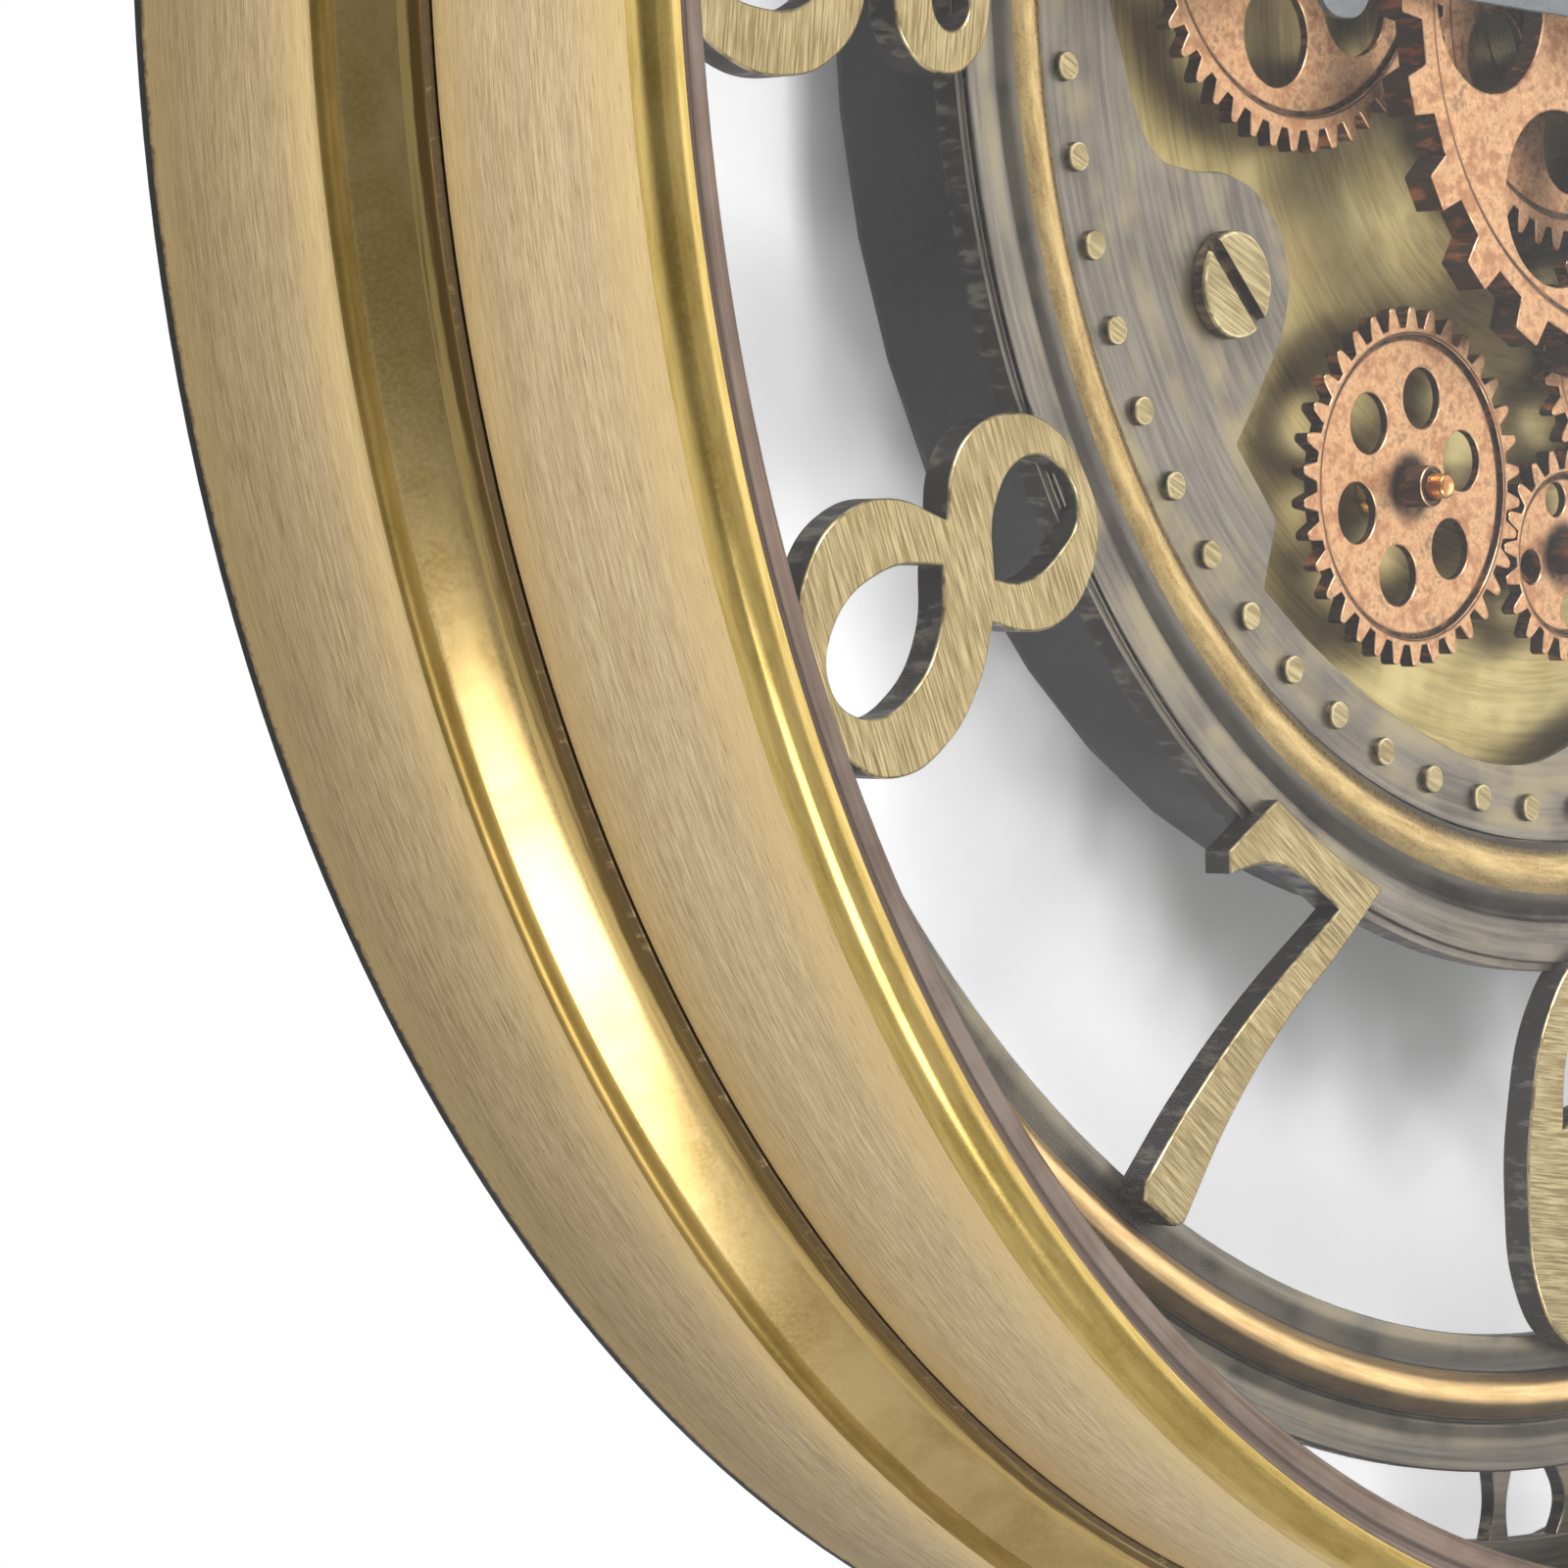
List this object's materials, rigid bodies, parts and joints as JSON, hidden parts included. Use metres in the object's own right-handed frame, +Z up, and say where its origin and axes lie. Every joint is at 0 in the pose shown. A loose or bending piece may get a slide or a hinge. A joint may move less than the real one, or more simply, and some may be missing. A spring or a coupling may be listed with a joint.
{
  "type": "gear wall clock",
  "caption": "Round wall clock with a deep brass drum case, glass front, open dial of cut-out numerals and a moving gear train around a central pair of hands.",
  "frame": {"origin": "the wall hook, at the top end of the slot in the hanger plate, on the wall plane", "axes": "-Y out of the wall towards the viewer, +Z up, +X to the right seen from the front"},
  "size_m": [0.5992, 0.091, 0.5992],
  "materials": {
    "brushed_brass": "circular brushed lines, satin lacquer",
    "old_brass": "brushed, aged, satin",
    "gunmetal": "dark bronzed steel, brushed",
    "copper": "copper coloured, dark patina in the recesses",
    "bright_brass": "polished",
    "charcoal": "matt charcoal paint",
    "hand_grey": "satin dark grey",
    "black_plastic": "moulded, fine grain",
    "white_plastic": "moulded, smooth",
    "cell_wrap": "plain printed sleeve",
    "steel": "zinc plated",
    "rubber": "matt",
    "clear_glass": "clear, polished"
  },
  "bodies": {
    "case": {"back_cover": "charcoal", "back_plate": "old_brass", "bezel_ring": "brushed_brass", "bottom_post": "bright_brass", "case_ring": "brushed_brass", "centre_bush": "steel", "dial_inner_ring": "old_brass", "dial_outer_ring": "old_brass", "drive_box": "black_plastic", "drive_cell_1": "cell_wrap", "drive_cell_2": "cell_wrap", "gear_motor": "steel", "glass_gasket": "rubber", "glass_pane": "clear_glass", "hanger_plate": "steel", "left_post": "bright_brass", "lower_idler_post": "bright_brass", "lower_left_post": "bright_brass", "movement_drum": "charcoal", "movement_nut": "bright_brass", "numeral_1": "old_brass", "numeral_10": "old_brass", "numeral_11": "old_brass", "numeral_12": "old_brass", "numeral_2": "old_brass", "numeral_3": "old_brass", "numeral_4": "old_brass", "numeral_5": "old_brass", "numeral_6": "old_brass", "numeral_7": "old_brass", "numeral_8": "old_brass", "numeral_9": "old_brass", "plate_screw_1": "old_brass", "plate_screw_2": "old_brass", "plate_screw_3": "old_brass", "plate_screw_4": "old_brass", "quartz_cell": "cell_wrap", "quartz_movement": "black_plastic", "right_post": "bright_brass", "rivet_plate": "gunmetal", "top_post": "bright_brass", "upper_right_post": "bright_brass"},
    "centre_gears": {"centre_coarse_gear": "copper", "centre_fine_gear": "copper"},
    "left_wheel": {"left_gear": "copper"},
    "right_wheel": {"right_gear": "copper"},
    "lower_idler_wheel": {"lower_idler_gear": "copper"},
    "bottom_wheel": {"bottom_gear": "copper"},
    "lower_left_wheel": {"lower_left_gear": "copper"},
    "top_wheel": {"top_gear": "copper"},
    "upper_right_wheel": {"upper_right_gear": "copper"},
    "pinion": {"drive_pinion": "bright_brass"},
    "minute": {"minute_hand": "hand_grey", "hand_cap": "bright_brass"},
    "hour": {"hour_hand": "hand_grey"},
    "knob": {"setting_knob": "white_plastic"},
    "cell_cover": {"battery_cover": "black_plastic"},
    "drive_switch": {"switch_slider": "white_plastic"}
  },
  "joints": [
    {"name": "centre_gear_spin", "type": "hinge", "parent": "case", "child": "centre_gears", "pos_m": [0, 0, -0.262], "axis": [0, -1, 0], "continuous": true},
    {"name": "left_gear_spin", "type": "hinge", "parent": "case", "child": "left_wheel", "pos_m": [-0.07814, 0, -0.24695], "axis": [0, -1, 0], "continuous": true},
    {"name": "right_gear_spin", "type": "hinge", "parent": "case", "child": "right_wheel", "pos_m": [0.0727, 0, -0.29437], "axis": [0, -1, 0], "continuous": true},
    {"name": "lower_idler_spin", "type": "hinge", "parent": "case", "child": "lower_idler_wheel", "pos_m": [0.01413, 0, -0.32177], "axis": [0, -1, 0], "continuous": true},
    {"name": "bottom_gear_spin", "type": "hinge", "parent": "case", "child": "bottom_wheel", "pos_m": [-0.00287, 0, -0.35678], "axis": [0, -1, 0], "continuous": true},
    {"name": "lower_left_gear_spin", "type": "hinge", "parent": "case", "child": "lower_left_wheel", "pos_m": [-0.04797, 0, -0.34462], "axis": [0, -1, 0], "continuous": true},
    {"name": "top_gear_spin", "type": "hinge", "parent": "case", "child": "top_wheel", "pos_m": [-0.01589, 0, -0.20268], "axis": [0, -1, 0], "continuous": true},
    {"name": "upper_right_gear_spin", "type": "hinge", "parent": "case", "child": "upper_right_wheel", "pos_m": [0.04448, 0, -0.20899], "axis": [0, -1, 0], "continuous": true},
    {"name": "drive_pinion_spin", "type": "hinge", "parent": "case", "child": "pinion", "pos_m": [0.06438, 0, -0.17453], "axis": [0, -1, 0], "continuous": true},
    {"name": "minute_hand_spin", "type": "hinge", "parent": "case", "child": "minute", "pos_m": [0, 0, -0.262], "axis": [0, -1, 0], "continuous": true},
    {"name": "hour_hand_spin", "type": "hinge", "parent": "case", "child": "hour", "pos_m": [0, 0, -0.262], "axis": [0, -1, 0], "continuous": true},
    {"name": "setting_knob_spin", "type": "hinge", "parent": "case", "child": "knob", "pos_m": [0.015, 0, -0.26], "axis": [0, -1, 0], "continuous": true},
    {"name": "battery_cover_slide", "type": "slide", "parent": "case", "child": "cell_cover", "axis": [-1, 0, 0], "range_m": [0, 0.056]},
    {"name": "drive_switch_slide", "type": "slide", "parent": "case", "child": "drive_switch", "axis": [0, 0, 1], "range_m": [0, 0.003]}
  ],
  "couplings": [
    {"joint": "left_gear_spin", "follows": "centre_gear_spin", "ratio": -1},
    {"joint": "right_gear_spin", "follows": "centre_gear_spin", "ratio": -1},
    {"joint": "lower_idler_spin", "follows": "centre_gear_spin", "ratio": -1.84},
    {"joint": "top_gear_spin", "follows": "centre_gear_spin", "ratio": -1.84},
    {"joint": "bottom_gear_spin", "follows": "centre_gear_spin", "ratio": 2.3},
    {"joint": "lower_left_gear_spin", "follows": "centre_gear_spin", "ratio": -1.3529},
    {"joint": "upper_right_gear_spin", "follows": "centre_gear_spin", "ratio": -1.3529},
    {"joint": "drive_pinion_spin", "follows": "centre_gear_spin", "ratio": 3.8333},
    {"joint": "hour_hand_spin", "follows": "minute_hand_spin", "ratio": 0.083333},
    {"joint": "setting_knob_spin", "follows": "minute_hand_spin", "ratio": -3}
  ]
}
